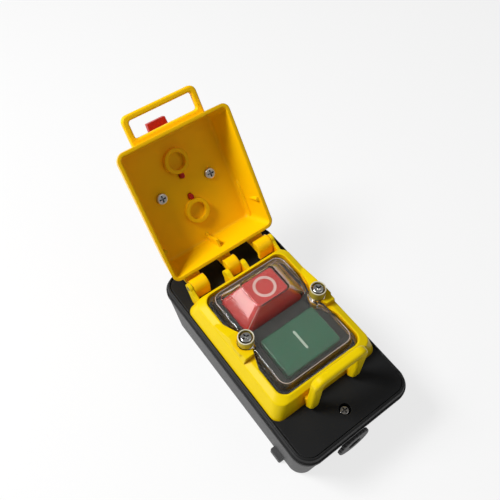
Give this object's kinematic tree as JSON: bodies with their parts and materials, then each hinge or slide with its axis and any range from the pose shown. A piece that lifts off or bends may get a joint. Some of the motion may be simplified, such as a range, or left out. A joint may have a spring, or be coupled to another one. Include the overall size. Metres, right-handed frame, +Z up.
{
  "type": "electromagnetic start switch",
  "caption": "Start and stop switch with magnetic hold-in, in a black surface box, with a clear boot over red and green buttons and a yellow hinged stop cover with padlock loop",
  "frame": {"origin": "in the plane of the underside of the box, on its centre line, at the middle of the four wall fixing holes", "axes": "X across the box to the right as seen from the padlock end, Y from the padlock and cable end to the hinge end, Z up out of the mounting surface through the buttons"},
  "size_m": [0.093, 0.2305, 0.159],
  "materials": {
    "black_shell": "fine textured",
    "black_lid": "satin",
    "gasket": "matte",
    "zinc_screw": "zinc plated",
    "gland": "satin",
    "yellow": "gloss",
    "steel_pin": "drawn",
    "clear_boot": "clear soft plastic",
    "dark_surround": "satin",
    "red": "gloss",
    "green": "gloss",
    "housing": "matte",
    "brass_blade": "plain",
    "contact_metal": "silver alloy",
    "carrier": "matte",
    "iron": "ground iron",
    "copper": "enamelled wire",
    "spring_steel": "wire"
  },
  "bodies": {
    "box": {"enclosure_base": "black_shell", "enclosure_lid": "black_lid", "lid_gasket": "gasket", "lid_screws": "zinc_screw", "entry_gland": "gland", "gland_nut": "gland", "guard_frame": "yellow", "hinge_pins": "steel_pin", "protective_boot": "clear_boot", "fixing_screws": "zinc_screw", "fixing_nuts": "steel_pin", "button_surround": "dark_surround", "switch_housing": "housing", "terminal_blades": "brass_blade", "fixed_contacts": "contact_metal", "magnet_core": "iron", "coil_bobbin": "carrier", "coil_winding": "copper", "start_spring": "spring_steel", "stop_springs": "spring_steel"},
    "cover": {"safety_cover": "yellow", "stop_paddle": "red", "paddle_screws": "zinc_screw"},
    "stop_button": {"stop_button": "red"},
    "start_button": {"start_button": "green"},
    "contact_carrier": {"contact_carrier": "carrier", "contact_bridges": "contact_metal", "magnet_armature": "iron"}
  },
  "joints": [
    {"name": "cover_hinge", "type": "hinge", "parent": "box", "child": "cover", "pos_m": [0, 0.0575, 0.066], "axis": [1, 0, 0], "range_deg": [0, 126.3]},
    {"name": "stop_press", "type": "slide", "parent": "box", "child": "stop_button", "axis": [0, 0, -1], "range_m": [0, 0.0035], "stiffness_N_per_m": 600, "springref_m": -0.002, "deforming": ["stop_springs"]},
    {"name": "start_press", "type": "slide", "parent": "box", "child": "start_button", "axis": [0, 0, -1], "range_m": [0, 0.0035], "stiffness_N_per_m": 100, "springref_m": -0.002},
    {"name": "carrier_travel", "type": "slide", "parent": "box", "child": "contact_carrier", "axis": [0, 0, -1], "range_m": [0, 0.0035], "stiffness_N_per_m": 400, "springref_m": -0.002, "deforming": ["start_spring"]}
  ],
  "couplings": [
    {"joint": "carrier_travel", "follows": "start_press", "ratio": 1}
  ]
}
